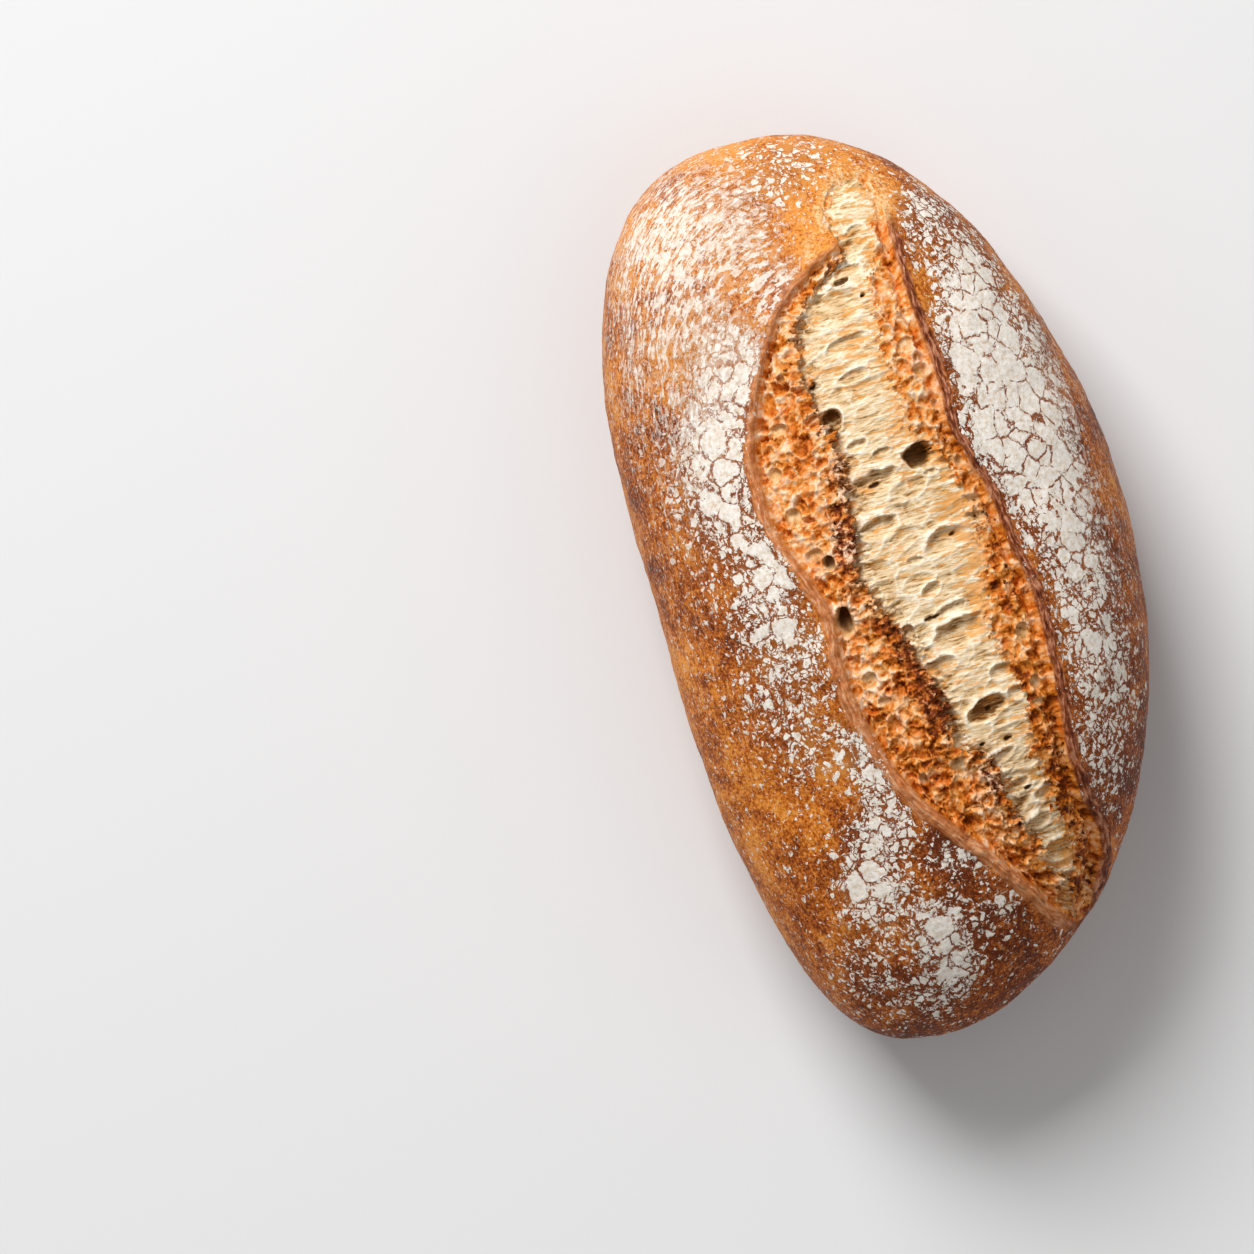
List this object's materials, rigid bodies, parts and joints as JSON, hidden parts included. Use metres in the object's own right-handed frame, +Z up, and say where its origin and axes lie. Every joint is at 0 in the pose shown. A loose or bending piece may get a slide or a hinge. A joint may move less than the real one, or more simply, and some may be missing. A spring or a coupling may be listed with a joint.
{
  "type": "sourdough loaf",
  "caption": "Oval floured hearth loaf with a long score torn open along its upper side, resting on a flat base.",
  "frame": {"origin": "On the flat base, in the middle of the loaf's length and width.", "axes": "+X along the loaf towards its broad end; +Z up, away from the surface it rests on; the torn score faces +Z and -Y."},
  "size_m": [0.229, 0.121, 0.08],
  "materials": {
    "crust": "matte floured crust"
  },
  "bodies": {
    "root": {"loaf": "crust"}
  },
  "joints": []
}
